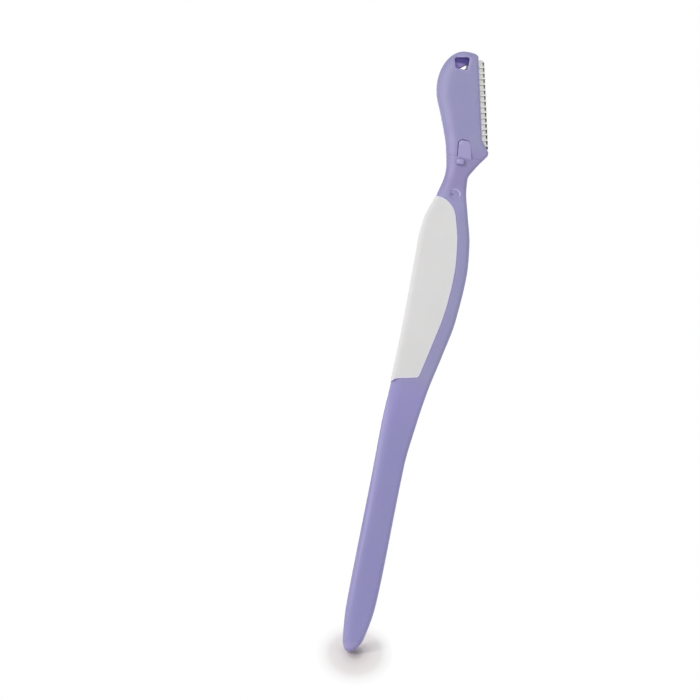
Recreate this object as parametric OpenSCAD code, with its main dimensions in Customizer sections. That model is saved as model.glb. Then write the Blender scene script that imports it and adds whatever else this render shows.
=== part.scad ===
// Eyebrow razor: a moulded handle with a soft grip, and a two-part head that clamps
// a steel blade under a slotted guard. It stands upright with its front towards -Y
// and its blade towards +X, and its origin is the centre of the hanging hole.

/* [Lengths] */
// Slim lower handle, from the tip to where the handle starts to widen
tail_len = 50; // [42:1:60]
// From there up to the widest point of the handle
swell_len = 52; // [46:1:60]
// From the widest point up to the narrowest point of the neck
waist_len = 25; // [22:1:32]
// From the narrowest point of the neck up to the chin
jaw_len = 7; // [6.5:0.5:9]
// Head, from the underside of the chin to its top
head_len = 26; // [25.5:0.5:30]

/* [Widths] */
// Slim lower handle
tail_w = 7.9; // [7:0.1:9]
// Handle at its widest point
belly_w = 14; // [12.5:0.1:15.5]
// Neck at its narrowest point
neck_w = 6; // [5.5:0.1:7.5]
// Crown of the head, either side of its middle
crown_w = 12.5; // [11.5:0.1:13.5]
// Reach of the chin past the middle of the neck
chin_reach = 7.2; // [6.8:0.1:7.8]
// How far the widest point stands to the blade side of the lower handle
belly_shift = 4.6; // [4:0.1:5.2]
// How far the neck stands to the blade side of the lower handle
neck_shift = 4.35; // [3.8:0.1:4.8]

/* [Thicknesses] */
// Back half of the head, from the seam between its halves to the flat back
back_t = 1.7; // [1.5:0.1:2.2]
// Front half of the head
cover_t = 1.45; // [1.3:0.05:1.8]
// Lower handle, front to back
tail_t = 3.6; // [3:0.1:4.2]
// Handle at its widest point, front to back
belly_t = 4.6; // [4:0.1:5.5]
// Neck, front to back
neck_t = 3.6; // [3.2:0.1:4.2]

/* [Blade and guard] */
// Lean of the blade against the handle, in degrees
blade_lean = 12.8; // [11:0.1:14]
// Thickness of the blade
blade_t = 0.25; // [0.2:0.01:0.3]
// Width of the ground edge of the blade
bevel_w = 0.6; // [0.4:0.05:0.7]
// Length of the guard
guard_len = 23.7; // [22.5:0.1:24.2]
// How far the guard stands out of the head
guard_reach = 1.65; // [1.4:0.05:1.8]
// Sheet that the guard is folded from
guard_sheet = 0.12; // [0.1:0.01:0.15]
// How deep the blade and guard sit in the head
hold_depth = 2.2; // [1.9:0.05:2.3]
// Number of slots in the guard
slot_count = 16; // [12:1:18]
// Width of one slot
slot_w = 1; // [0.8:0.05:1.05]
// Depth of the slots from the folded edge
slot_depth = 0.6; // [0.5:0.05:0.8]
// How far the pressed ribs between the slots stand out of the sheet
rib_proud = 0.08; // [0.05:0.01:0.12]
// Diameter of the pins that locate the blade
pin_d = 1.2; // [1:0.05:1.3]

/* [Head details] */
// Diameter of the hanging hole
hole_d = 2.2; // [1.8:0.1:2.4]
// Width of the window in front of the hole
window_w = 3.4; // [3.2:0.1:3.7]
// Height of the window
window_h = 3.1; // [2.9:0.1:3.3]
// Thickness of the shelf that closes the back of the window, but for its lower corner
shelf_t = 0.45; // [0.3:0.05:0.6]
// Width of that open corner at its foot
open_w = 1.9; // [1.5:0.1:2.4]
// Width of the latch tongue at its root
tongue_w = 4.1; // [3.5:0.1:4.3]
// Length of the latch tongue
tongue_len = 5; // [4:0.1:5.5]
// Width of the slot round the top and left of the latch tongue
tongue_slot = 0.3; // [0.2:0.05:0.4]
// Width of the square nub below the tongue
nub_w = 1.8; // [1.5:0.1:2.1]
// Diameter of the round mould mark on the neck
mark_d = 3.7; // [3:0.1:4]

/* [Grip] */
// Start of the grip above the end of the lower handle
grip_start = 22; // [18:1:26]
// End of the grip below the narrowest point of the neck
grip_stop = 5.7; // [5:0.1:8]
// Bare strip of the handle beside the grip
strip_w = 3.9; // [3.2:0.1:4.5]
// How far the grip stands proud of the handle
grip_proud = 0.15; // [0.1:0.05:0.3]
// Thickness of the core plate inside the grip
core_t = 1.8; // [1.4:0.1:2]
// Grip material round the left edge of the core plate
wrap_w = 1.3; // [1:0.1:1.6]
// Diameter of the holes that key the grip to the core plate
key_d = 2.8; // [2:0.1:3.2]

/* [Hidden] */
// Gaps of the press fit pins, of the blade inside the guard and of the seam
pin_gap = 0.03;
blade_gap = 0.02;
seam_gap = 0.05;
// Levels above the tip, and the height that the seam lies below the chin
z_swell = tail_len;
z_belly = z_swell + swell_len;
z_neck = z_belly + waist_len;
z_chin = z_neck + jaw_len;
z_top = z_chin + head_len;
seam_drop = 1.4;
z_seam = z_chin - seam_drop;
// Rounded end of the handle: radius of its tip, run of its taper and of its pillow, and how
// far its right side slants in at the end, at the pillow and at the end of the taper
tip_r = 1.2;
tip_run = 12;
tip_full = 20;
tip_in = 0.85;
tip_slant = 3.95;
tip_cheek = 1.7;
tip_ease = 0.35;
pillow_run = 5;
pillow_low = 0.35;
tip_blunt = 0.3;
// The lower handle drifts this far to the blade side over its length
tail_drift = 0.5;
// Back of the neck: how far its narrowest point stands above the other side's, and how far
// it leans out at the height of the chin
nape_rise = 1;
nape_lean = 0.95;
// Crown of the head: middle, height of its round left side and of its right corner
crown_back = 3.15;
crown_x = neck_shift - crown_back;
crown_h = 9;
corner_h = 1.4;
crown_left = crown_x - crown_w / 2;
// A flat this high closes the round top
top_flat = 0.03;
edge_round = 1.3;
crown_thin = 0.5;
// Chin and the notch that closes the lower end of the blade
chin_x = neck_shift + chin_reach;
chin_h = 1;
notch_h = 2.8;
notch_lean = 38.7;
chin_round = 0.4;
chin_lip = 0.1;
chin_set = 0.35;
edge_x = chin_x - notch_h * tan(notch_lean);
edge_z = z_chin + chin_h + notch_h;
// Blade and guard in their own frame, with its origin at the top of the notch
guard_low = -2.5;
guard_t = blade_t + 2 * (guard_sheet + blade_gap);
guard_corner = 1.2;
blade_short = 0.15;
// The lowest slot opens at the end of the guard, and the highest is below its rounded corner
slot_low = 0.36;
slot_high = 1.24;
slot_pitch = (guard_len - slot_low - slot_high) / (slot_count - 1);
rib_share = 0.8;
rib_clear = 0.1;
pin_x = -hold_depth / 2;
pin_inset = 4.5;
pin_low = guard_low + pin_inset;
pin_high = guard_low + guard_len - pin_inset;
pin_root = 0.3;
socket_deep = 1;
// Window, and the hanging hole behind the open corner at its lower right, under the slanting
// edge of its shelf
window_right = 0.95;
window_drop = 4.65;
window_round = 0.5;
window_lean = 0.3;
window_slant = 0.45;
window_foot = 0.6;
open_slope = 40;
window_x = crown_x + window_right;
window_z = z_top - window_drop;
hole_in = 0.4;
hole_x = window_x - open_w + hole_in;
hole_z = window_z + open_w / 2 * tan(open_slope);
// Latch tongue, nub and mould mark
tongue_off = 1.3;
tongue_x = neck_shift + tongue_off;
tongue_lean = 0.8;
tongue_fit = 0.1;
tongue_proud = 0.3;
tongue_flex = 0.35;
tongue_round = 1.2;
tongue_ramp = 0.8;
root_step = 0.2;
root_inset = 0.3;
nub_off = 0.45;
nub_x = neck_shift + nub_off;
nub_drop = 1.4;
nub_proud = 0.35;
nub_round = 0.5;
mark_off = -0.15;
mark_x = neck_shift + mark_off;
mark_drop = 4.7;
mark_deep = 0.15;
gate_d = 0.7;
gate_off = [-0.6, -0.1];
gate_deep = 0.3;
// Grip and core plate
z_grip_low = z_swell + grip_start;
z_grip_high = z_neck - grip_stop;
grip_end = 5;
grip_corner = 1;
grip_dip = 1.2;
grip_rise = 0.7;
grip_spare = 2;
grip_foot = 1.6;
core_lap = 1.5;
core_tuck = 1;
core_y = (back_t - (belly_t - back_t)) / 2;
key_count = 3;
// Far enough to cut right through
far = 30;
corner_points = 6;
$fn = 64;

// Value between a and b
function mix(a, b, t) = a + (b - a) * t;

// Height of a smooth curve through [position, value] points that never overshoots them
function slope(p, i) = (p[i + 1][1] - p[i][1]) / (p[i + 1][0] - p[i][0]);
function mean_slope(a, b) = a * b <= 0 ? 0 : 2 * a * b / (a + b);
function tangent(p, i) =
    i == 0 ? slope(p, 0)
    : i == len(p) - 1 ? slope(p, i - 1)
    : mean_slope(slope(p, i - 1), slope(p, i));
function curve(p, z) =
    let (i = max(0, min(len(p) - 2, len([for (q = p) if (q[0] <= z) 1]) - 1)))
    let (w = p[i + 1][0] - p[i][0])
    let (t = max(0, min(1, (z - p[i][0]) / w)))
    mix(p[i][1], p[i + 1][1], t * t * (3 - 2 * t))
    + w * t * (1 - t) * ((1 - t) * tangent(p, i) - t * tangent(p, i + 1));

// Share of the full size at t along a rounded end, from 1 at its start to 0 at its end
function round_end(t, power = 2) = pow(max(0, 1 - pow(max(0, t), power)), 1 / power);

// Outline of the handle: the left edge up to the crown and the right edge up to the chin
tail_left = -tail_w / 2;
tail_right = tail_w / 2;
belly_left = belly_shift - belly_w / 2;
belly_right = belly_shift + belly_w / 2;
neck_left = neck_shift - neck_w / 2;
neck_right = neck_shift + neck_w / 2;
// Rows of [share of the way up, share of the way across] for each side of the belly and neck
swell_left = [[0, 0], [0.19, 0.05], [0.4, 0.5], [0.77, 1]];
waist_left = [[0.32, 0], [0.52, 0.13], [0.8, 0.69]];
brow_left = [[0.31, 0.58], [0.54, 0.94]];
swell_right = [[0, 0], [0.19, 0.14], [0.385, 0.34], [0.58, 0.64], [0.77, 0.9], [1, 1]];
waist_right = [[0.32, 0.165], [0.64, 0.62], [0.88, 0.95], [1, 1]];
jaw_right = [[0.43, 0.33]];
function stretch(rows, z0, z1, a, b) = [for (q = rows) [mix(z0, z1, q[0]), mix(a, b, q[1])]];
left_curve = concat(
    [[0, tail_left + tip_in], [tip_run, tail_left]],
    stretch(swell_left, z_swell, z_belly, tail_left + tail_drift, belly_left),
    stretch(waist_left, z_belly, z_neck, belly_left, neck_left),
    [[z_neck + nape_rise, neck_left], [z_chin, neck_left - nape_lean]],
    stretch(brow_left, z_chin, z_top, neck_left, crown_left),
    [[z_top - crown_h, crown_left], [z_top, crown_left]]
);
right_curve = concat(
    [[0, tail_right + tip_in - tip_slant], [pillow_run, tail_right - tip_cheek]],
    [[tip_run, tail_right - tip_ease], [tip_full, tail_right]],
    stretch(swell_right, z_swell, z_belly, tail_right + tail_drift, belly_right),
    stretch(waist_right, z_belly, z_neck, belly_right, neck_right),
    stretch(jaw_right, z_neck, z_chin, neck_right, chin_x),
    [[z_chin - chin_round, chin_x - chin_set], [z_chin + chin_lip, chin_x]]
);

function blade_line(z) = edge_x - (z - edge_z) * tan(blade_lean);
function notch_line(z) = edge_x + (edge_z - z) * tan(notch_lean);
function tip_share(z) = round_end(1 - z / tip_r);
function left(z) =
    z < tip_r ? mix(tip_middle, curve(left_curve, z), mix(tip_blunt, 1, tip_share(z)))
    : z < z_top - crown_h ? curve(left_curve, z)
    : crown_x - crown_w / 2 * round_end((z - z_top + crown_h) / (crown_h + top_flat));
function right(z) =
    z < tip_r ? mix(tip_middle, curve(right_curve, z), mix(tip_blunt, 1, tip_share(z)))
    : z < z_chin ? curve(right_curve, z)
    : z < z_top - corner_h ? max(blade_line(z), min(chin_x, notch_line(z)))
    : mix(crown_x, blade_line(z_top - corner_h),
        round_end((z - z_top + corner_h) / (corner_h + top_flat), 3));
tip_middle = (left_curve[0][1] + right_curve[0][1]) / 2;

// Depth of the front and of the back from the seam between the halves of the head
front_curve = [
    [0, tail_t - back_t],
    [z_swell, tail_t - back_t],
    [mix(z_swell, z_belly, 0.5), mix(tail_t, belly_t, 0.6) - back_t],
    [z_belly, belly_t - back_t],
    [z_neck, neck_t - back_t],
    [z_seam - 1, cover_t],
    [z_top, cover_t],
];
function pillow(z) = mix(pillow_low, 1, round_end(1 - z / pillow_run));
function crown_edge(z) = mix(crown_thin, 1, round_end((z - z_top + edge_round) / edge_round));
function depth_share(z) = z < pillow_run ? pillow(z) : z > z_top - edge_round ? crown_edge(z) : 1;
function front(z) = curve(front_curve, z) * depth_share(z);

// Widths of the rounded shoulders on the left and on the right
left_shoulder = [[0, 2.2], [z_swell, 2.2], [z_belly, 2.6], [z_neck, 1.7], [z_chin, 2.1], [z_top, 2.3]];
right_shoulder = [[0, 1.3], [z_swell, 1.3], [z_belly, 2.2], [z_neck, 1.3], [z_chin, 0.5], [z_top, 0.5]];
shoulder_depth = 0.7;
back_shoulder = 1.2;
back_depth = 1;
back_spare = 0.1;

// Points round one corner of a section, from the angle start to start + 90
function corner(x, y, a, b, start) = [
    for (k = [0:corner_points - 1])
        let (t = start + 90 * k / (corner_points - 1))
        [x + a * cos(t), y + b * sin(t)]
];

// Rounded cross section at the height z, grown outwards by grow
function section(z, grow) =
    let (l = left(z) - grow, r = right(z) + grow, w = (r - l) * 0.45)
    let (f = front(z) + grow, b = (back_t + back_spare) * depth_share(z) + grow)
    let (la = min(w, curve(left_shoulder, z)), ra = min(w, curve(right_shoulder, z)))
    let (sb = min(w, back_shoulder), d = f * shoulder_depth, rd = min(d, ra), bd = min(back_depth, b / 2))
    concat(
        corner(l + la, -f + d, la, d, 180),
        corner(r - ra, -f + rd, ra, rd, 270),
        corner(r - sb, b - bd, sb, bd, 0),
        corner(l + sb, b - bd, sb, bd, 90)
    );

// Heights of the sections, closer together where the outline turns
heights = concat(
    [for (t = [0:15:75]) tip_r * (1 - cos(t))],
    [for (k = [0:4]) mix(tip_r, pillow_run, k / 4)],
    [mix(pillow_run, tip_run, 0.5), tip_run, mix(tip_run, tip_full, 0.5), tip_full],
    [for (k = [1:4]) mix(tip_full, z_swell, k / 4)],
    [for (k = [1:15]) mix(z_swell, z_belly, k / 15)],
    [for (k = [1:13]) mix(z_belly, z_neck, k / 13)],
    [for (k = [1:8]) mix(z_neck, z_chin - chin_round, k / 8)],
    [z_chin, z_chin + chin_lip, z_chin + chin_h, mix(z_chin + chin_h, edge_z, 0.5), edge_z],
    [for (k = [1:7]) mix(edge_z, z_top - crown_h, k / 7)],
    [for (t = [8:8:48]) z_top - crown_h * (1 - sin(t))],
    [for (t = [0:15:90]) z_top - corner_h * (1 - sin(t))]
);

// Outer form of the razor without its blade between two heights, as one loft with a flat back
module outer_form(low = 0, high = z_top, grow = 0) {
    levels = [for (z = heights) if (z >= low && z <= high) z];
    rings = [for (z = levels) section(z, grow)];
    m = len(rings[0]);
    n = len(rings);
    points = [for (i = [0:n - 1]) for (p = rings[i]) [p[0], p[1], levels[i]]];
    sides = [for (i = [0:n - 2]) for (j = [0:m - 1])
        let (k = (j + 1) % m, a = i * m + j, b = i * m + k)
        for (f = [[a, a + m, b + m], [a, b + m, b]]) f];
    caps = [[for (j = [0:m - 1]) j], [for (j = [m - 1:-1:0]) (n - 1) * m + j]];
    difference() {
        polyhedron(points = points, faces = concat(sides, caps));
        translate([-far, back_t, -far]) cube([2 * far, far, z_top + 2 * far]);
    }
}

// Outline with each corner rounded: rows of [x, y, radius]
function unit(v) = v / norm(v);
function rounded(rows) = [
    for (i = [0:len(rows) - 1])
        let (n = len(rows), row = rows[i], p = [row[0], row[1]], r = row[2])
        let (a = rows[(i + n - 1) % n], b = rows[(i + 1) % n])
        let (u = unit([a[0], a[1]] - p), v = unit([b[0], b[1]] - p))
        let (half = acos(u * v) / 2, c = p + unit(u + v) * r / sin(half))
        let (s = p + u * r / tan(half) - c, e = p + v * r / tan(half) - c)
        let (from = atan2(s[1], s[0]), turn = atan2(s[0] * e[1] - s[1] * e[0], s * e))
        for (k = [0:r > 0 ? 6 : 0]) c + r * [cos(from + turn * k / 6), sin(from + turn * k / 6)]
];

// A flat outline in x and z, extruded along y from y0 to y1
module plate(outline, y0, y1)
    translate([0, y1, 0]) rotate([90, 0, 0]) linear_extrude(y1 - y0) polygon(outline);

// Puts its children in the frame of the blade
module at_blade()
    translate([edge_x, 0, edge_z]) rotate([0, -blade_lean, 0]) children();

// Pins, or the holes for them with a gap, from y0 to y1 in the frame of the blade
module pins(y0, y1, gap = 0)
    for (z = [pin_low, pin_high])
        translate([pin_x, y1, z]) rotate([90, 0, 0]) cylinder(d = pin_d + 2 * gap, h = y1 - y0);

// Outline of the grip seen from the front, open past the left edge of the handle
module grip_zone(y0, y1) {
    z_round = z_grip_high - grip_end;
    z_side = z_grip_low + grip_rise + grip_corner;
    low_left = left(z_grip_low);
    low_right = right(z_side) - strip_w;
    low_curve = [
        [low_left - grip_spare, -grip_dip],
        [low_left, -grip_dip],
        [low_left + grip_foot, 0],
        [low_right - grip_corner, grip_rise],
    ];
    low = [for (k = [0:8])
        let (x = mix(low_left - grip_spare, low_right - grip_corner, k / 8))
        [x, z_grip_low + curve(low_curve, x)]];
    turn = [for (t = [15:15:75])
        [low_right - grip_corner * (1 - sin(t)), z_side - grip_corner * cos(t)]];
    side = [for (k = [0:12])
        let (z = mix(z_side, z_round, k / 12))
        [right(z) - strip_w, z]];
    end = [for (t = [15:15:90])
        let (z = z_round + grip_end * sin(t), l = left(z))
        [mix(l, right(z) - strip_w, round_end(sin(t), 2.5)), z]];
    plate(concat(low, turn, side, end, [[left(z_grip_high) - grip_spare, z_grip_high]]), y0, y1);
}

// Core plate of the handle under the grip, with the holes that key the grip
module core_plate() {
    low = z_grip_low - core_lap;
    high = z_grip_high + core_lap;
    count = 12;
    levels = [for (k = [0:count]) mix(low, high, k / count)];
    left_side = [for (z = levels) [left(z) + wrap_w, z]];
    right_side = [for (k = [count:-1:0]) let (z = levels[k]) [right(z) - strip_w + core_tuck, z]];
    difference() {
        plate(concat(left_side, right_side), core_y - core_t / 2, core_y + core_t / 2);
        for (k = [1:key_count]) {
            z = mix(z_grip_low, z_grip_high, k / (key_count + 0.5));
            x = (left(z) + wrap_w + right(z) - strip_w) / 2;
            translate([x, core_y, z]) rotate([90, 0, 0]) cylinder(d = key_d, h = far, center = true);
        }
    }
}

// Outline of the latch tongue, or of the notch round it with a slot and a snug right side
function tongue_outline(slot = 0, fit = 0) =
    let (l = tongue_x - tongue_w / 2 - slot, r = tongue_x + tongue_w / 2 + fit)
    let (low = z_seam - 1, top = z_seam + tongue_len + slot)
    rounded([
        [l, low, 0],
        [r, low, 0],
        [r - tongue_lean, top, tongue_round],
        [l - tongue_lean / 6, top, tongue_round],
    ]);

// Window of the head in front of the hanging hole, narrower at its foot
function window_outline() = rounded([
    [window_x, window_z, window_round],
    [window_x - window_lean, window_z + window_h, window_round],
    [window_x - window_w, window_z + window_h - window_slant, window_round],
    [window_x - window_w + window_foot, window_z, window_round],
]);

// Lower right corner of the window, open to the hanging hole below a slanting edge
module open_corner(y0, y1) intersection() {
    x = window_x - open_w;
    plate(window_outline(), y0, y1);
    plate([[x, window_z - 1], [x, window_z], [x + far, window_z + far * tan(open_slope)],
        [x + far, window_z - 1]], y0, y1);
}

module handle() color([0.58, 0.56, 0.74]) {
    difference() {
        outer_form();
        translate([-far, -far, z_seam]) cube([2 * far, far, head_len + far]);
        grip_zone(-far, far);
        at_blade() translate([-hold_depth, 0, guard_low]) cube([far, guard_t, guard_len]);
        translate([hole_x, -1, hole_z]) rotate([-90, 0, 0]) cylinder(d = hole_d, h = back_t + 2);
        mould_mark();
    }
    core_plate();
    at_blade() pins(-socket_deep, guard_t + pin_root);
    latch_tongue();
    nub();
}

// Round mark of an ejector pin on the neck, with the pit of the gate in it
module mould_mark() {
    z = z_neck - mark_drop;
    face = -front(z);
    translate([mark_x, face + mark_deep, z]) rotate([90, 0, 0]) cylinder(d = mark_d, h = 1);
    translate([mark_x + gate_off[0], face + gate_deep, z + gate_off[1]])
        rotate([90, 0, 0]) cylinder(d = gate_d, h = 1);
}

// Square nub below the tongue
module nub() {
    z = z_seam - nub_drop;
    outline = [for (side = [[-1, -1], [1, -1], [1, 1], [-1, 1]])
        [nub_x + side[0] * nub_w / 2, z + side[1] * nub_w / 2, nub_round]];
    plate(rounded(outline), -front(z) - nub_proud, 0);
}

// Springy tongue in line with the cover, proud at its root
module latch_tongue() {
    root = -cover_t - tongue_proud;
    intersection() {
        plate(tongue_outline(), -far, far);
        translate([-far, 0, 0]) rotate([90, 0, 90]) linear_extrude(2 * far) polygon([
            [-tongue_flex, z_seam - 1],
            [-tongue_flex, z_top],
            [-cover_t, z_top],
            [-cover_t, z_seam + tongue_len * tongue_ramp],
            [root, z_seam],
            [root, z_seam - root_step],
            [root_inset - cover_t, z_seam - root_step],
            [root_inset - cover_t, z_seam - 1],
        ]);
    }
}

module grip() color([0.85, 0.85, 0.86])
    difference() {
        intersection() {
            outer_form(z_grip_low - 2 * grip_end, z_grip_high + grip_end, grip_proud);
            grip_zone(-far, far);
        }
        core_plate();
    }

module head_cover() color([0.58, 0.56, 0.74])
    difference() {
        intersection() {
            outer_form(z_neck);
            translate([-far, -far, z_seam + seam_gap]) cube([2 * far, far, head_len + far]);
        }
        plate(tongue_outline(tongue_slot, tongue_fit), -far, 1);
        plate(window_outline(), -far, -shelf_t);
        open_corner(-far, 1);
        at_blade() pins(-socket_deep, 1, pin_gap);
    }

module blade() color([0.62, 0.63, 0.65]) {
    y0 = guard_sheet + blade_gap;
    tip = guard_reach - guard_sheet - blade_gap;
    low = guard_low + blade_short;
    at_blade() difference() {
        translate([0, 0, low]) linear_extrude(guard_len - 2 * blade_short) polygon([
            [-hold_depth, y0],
            [tip - bevel_w, y0],
            [tip, y0 + blade_t * 0.45],
            [tip, y0 + blade_t * 0.55],
            [tip - bevel_w, y0 + blade_t],
            [-hold_depth, y0 + blade_t],
        ]);
        pins(-1, 1, pin_gap);
        guard_end_cut();
    }
}

// Rounds the upper outer corner of the blade and guard
module guard_end_cut() {
    top = guard_low + guard_len;
    translate([guard_reach - guard_corner, 0, top - guard_corner]) difference() {
        translate([0, -1, 0]) cube([guard_corner + 1, 3, guard_corner + 1]);
        rotate([90, 0, 0]) cylinder(r = guard_corner, h = 8, center = true);
    }
}

module blade_guard() color([0.8, 0.81, 0.8]) {
    r = guard_t / 2;
    fold_x = guard_reach - r;
    inner = r - guard_sheet;
    // The sheet, folded round the edge of the blade
    fold = concat(
        [for (t = [-90:15:90]) [fold_x + r * cos(t), r + r * sin(t)]],
        [[-hold_depth, guard_t], [-hold_depth, guard_t - guard_sheet]],
        [for (t = [90:-15:-90]) [fold_x + inner * cos(t), r + inner * sin(t)]],
        [[-hold_depth, guard_sheet], [-hold_depth, 0]]
    );
    levels = [for (k = [0:slot_count - 1]) guard_low + slot_low + k * slot_pitch];
    at_blade() difference() {
        union() {
            translate([0, 0, guard_low]) linear_extrude(guard_len) polygon(fold);
            for (z = levels) guard_rib(z + slot_pitch / 2, fold_x);
        }
        for (z = levels)
            translate([guard_reach - slot_depth, -1, z - slot_w / 2]) cube([slot_depth + 1, 3, slot_w]);
        pins(-1, 1, pin_gap);
        guard_end_cut();
    }
}

// Rib pressed across both sides of the guard, from the edge of the head to the fold
module guard_rib(z, fold_x) {
    width = (slot_pitch - slot_w) * rib_share;
    radius = (rib_proud * rib_proud + width * width / 4) / (2 * rib_proud);
    low_x = max(0, -z * tan(notch_lean - blade_lean)) + rib_clear;
    if (z < guard_low + guard_len - guard_corner && low_x < fold_x)
        for (turn = [0, 180])
            translate([low_x, guard_t / 2, z]) rotate([turn, 0, 0]) intersection() {
                translate([0, radius - rib_proud - guard_t / 2, 0])
                    rotate([0, 90, 0]) cylinder(r = radius, h = fold_x - low_x);
                translate([0, -rib_proud - guard_t / 2, -width])
                    cube([fold_x - low_x, rib_proud + guard_sheet / 2, 2 * width]);
            }
}

// Moves the razor from its tip to the hanging hole
module placed() translate([-hole_x, 0, -hole_z]) children();

placed() handle();
placed() grip();
placed() head_cover();
placed() blade();
placed() blade_guard();
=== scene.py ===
import math

import bmesh
import bpy
import numpy as np
from mathutils import Matrix, Vector
from mathutils.geometry import delaunay_2d_cdt
from mathutils.kdtree import KDTree


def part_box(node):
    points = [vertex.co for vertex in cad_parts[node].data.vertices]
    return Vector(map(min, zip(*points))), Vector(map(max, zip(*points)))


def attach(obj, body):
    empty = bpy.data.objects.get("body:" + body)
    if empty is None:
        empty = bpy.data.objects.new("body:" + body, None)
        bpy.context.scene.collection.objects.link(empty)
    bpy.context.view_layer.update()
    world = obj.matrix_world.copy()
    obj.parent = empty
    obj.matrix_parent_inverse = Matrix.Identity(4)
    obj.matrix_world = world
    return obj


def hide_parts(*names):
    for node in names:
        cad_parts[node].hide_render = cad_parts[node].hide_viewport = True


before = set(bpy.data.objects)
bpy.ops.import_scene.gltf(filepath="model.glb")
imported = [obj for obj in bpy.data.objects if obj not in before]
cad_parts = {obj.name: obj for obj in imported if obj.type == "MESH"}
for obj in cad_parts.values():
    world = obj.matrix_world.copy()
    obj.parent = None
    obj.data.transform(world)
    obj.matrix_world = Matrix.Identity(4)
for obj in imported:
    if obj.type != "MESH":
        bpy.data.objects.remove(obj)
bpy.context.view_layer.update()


# Handle. One long moulding in satin lavender plastic: a slim lower handle, a belly that swells
# towards the blade, a narrow neck and the rear half of the head. It is drawn in millimetres: x from
# the axis of the lower handle, z above the tip, and y back from where the head's halves meet.
mm, nothing = 0.001, 1e-9
axis_x = -0.65
tip_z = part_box("handle")[0].z / mm
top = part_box("handle")[1].z / mm - tip_z
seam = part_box("head_cover")[0].z / mm - tip_z
back_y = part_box("handle")[1].y / mm
swell, belly, neck, chin = 50, 102, 127, 134
tail_w, belly_w, neck_w, crown_w = 7.9, 14, 6, 12.5
belly_x, neck_x, crown_x, chin_x = 4.6, 4.35, 1.2, 11.55
crown_h, corner_h = 9, 1.4
notch_foot, notch_top, notch_lean, blade_lean = 135, 137.8, 38.7, 12.8
tip_r, tip_drop, pillow_run, tail_drift = 3, 0.4, 4, 0.5
tail_depth, belly_depth, neck_depth, head_depth = 1.9, 2.9, 1.9, 1.45


def place(x, y, z):
    """A point of the razor in the part's own frame, in metres."""
    return ((x + axis_x) * mm, y * mm, (z + tip_z) * mm)


def in_mm(points):
    """Rows of x, y and z in millimetres, from points in the part's own frame."""
    return np.array(points) / mm - (axis_x, 0, tip_z)


def mix(a, b, t):
    return a + (b - a) * t


def capped(number):
    """A number held between 0 and 1."""
    return np.clip(number, 0, 1)


def pairs(x, z):
    """Rows of x and z."""
    return np.stack(np.broadcast_arrays(x, z), -1)


def smooth_curve(points):
    """Height of a smooth curve through [position, height] points that never overshoots them."""
    at, height = np.array(points, float).T
    rise = np.diff(height) / np.diff(at)
    level = rise[:-1] * rise[1:] <= 0
    lean = np.where(level, 0, 2 * rise[:-1] * rise[1:] / np.where(level, 1, rise[:-1] + rise[1:]))
    lean = np.concatenate([rise[:1], lean, rise[-1:]])

    def curve(z):
        i = np.clip(np.searchsorted(at, z, "right") - 1, 0, len(at) - 2)
        run = at[i + 1] - at[i]
        t = capped((z - at[i]) / run)
        bow = t * (1 - t) * ((1 - t) * lean[i] - t * lean[i + 1])
        return mix(height[i], height[i + 1], t * t * (3 - 2 * t)) + run * bow

    return curve


def round_end(t, power=2):
    """Share of the full size at t along a rounded end, from 1 at its start to 0 at its end."""
    return (1 - capped(t) ** power) ** (1 / power)


def stretch(rows, z0, z1, a, b):
    """Points of an edge from rows of [share of the way up, share of the way across]."""
    return [[mix(z0, z1, up), mix(a, b, across)] for up, across in rows]


belly_left, belly_right = belly_x - belly_w / 2, belly_x + belly_w / 2
neck_left, neck_right = neck_x - neck_w / 2, neck_x + neck_w / 2
crown_left = crown_x - crown_w / 2
left_curve = smooth_curve([
    [0, 0.85 - tail_w / 2],
    [12, -tail_w / 2],
    *stretch([[0, 0], [0.19, 0.05], [0.4, 0.5], [0.77, 1]],
             swell, belly, tail_drift - tail_w / 2, belly_left),
    *stretch([[0.32, 0], [0.52, 0.13], [0.8, 0.69]], belly, neck, belly_left, neck_left),
    [neck + 1, neck_left],
    [chin, neck_left - 0.95],
    *stretch([[0.31, 0.58], [0.54, 0.94]], chin, top, neck_left, crown_left),
    [top - crown_h, crown_left],
    [top, crown_left],
])
right_curve = smooth_curve([
    [0, tail_w / 2 - 3.1],
    [pillow_run, tail_w / 2 - 1.7],
    [12, tail_w / 2 - 0.35],
    [20, tail_w / 2],
    *stretch([[0, 0], [0.19, 0.14], [0.385, 0.34], [0.58, 0.64], [0.77, 0.9], [1, 1]],
             swell, belly, tail_drift + tail_w / 2, belly_right),
    *stretch([[0.32, 0.165], [0.64, 0.62], [0.88, 0.95], [1, 1]],
             belly, neck, belly_right, neck_right),
    *stretch([[0.43, 0.33]], neck, chin, neck_right, chin_x),
    [chin - 0.4, chin_x - 0.35],
    [chin + 0.1, chin_x],
])
edge_x = chin_x - (notch_top - notch_foot) * math.tan(math.radians(notch_lean))
tip_middle = (left_curve(0) + right_curve(0)) / 2


def tilted(degrees):
    """Directions to the right and up in the front view, turned by an angle."""
    c, s = math.cos(math.radians(degrees)), math.sin(math.radians(degrees))
    return (c, 0, s), (-s, 0, c)


def blade_line(z):
    return edge_x - (z - notch_top) * math.tan(math.radians(blade_lean))


def notch_line(z):
    return edge_x + (notch_top - z) * math.tan(math.radians(notch_lean))


def tip_share(z):
    return mix(0.2, 1, round_end(1 - z / tip_r))


def left(z):
    low = mix(tip_middle, left_curve(z), tip_share(z))
    crown = crown_x - crown_w / 2 * round_end((z - top + crown_h) / crown_h)
    return np.where(z < tip_r, low, np.where(z < top - crown_h, left_curve(z), crown))


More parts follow.
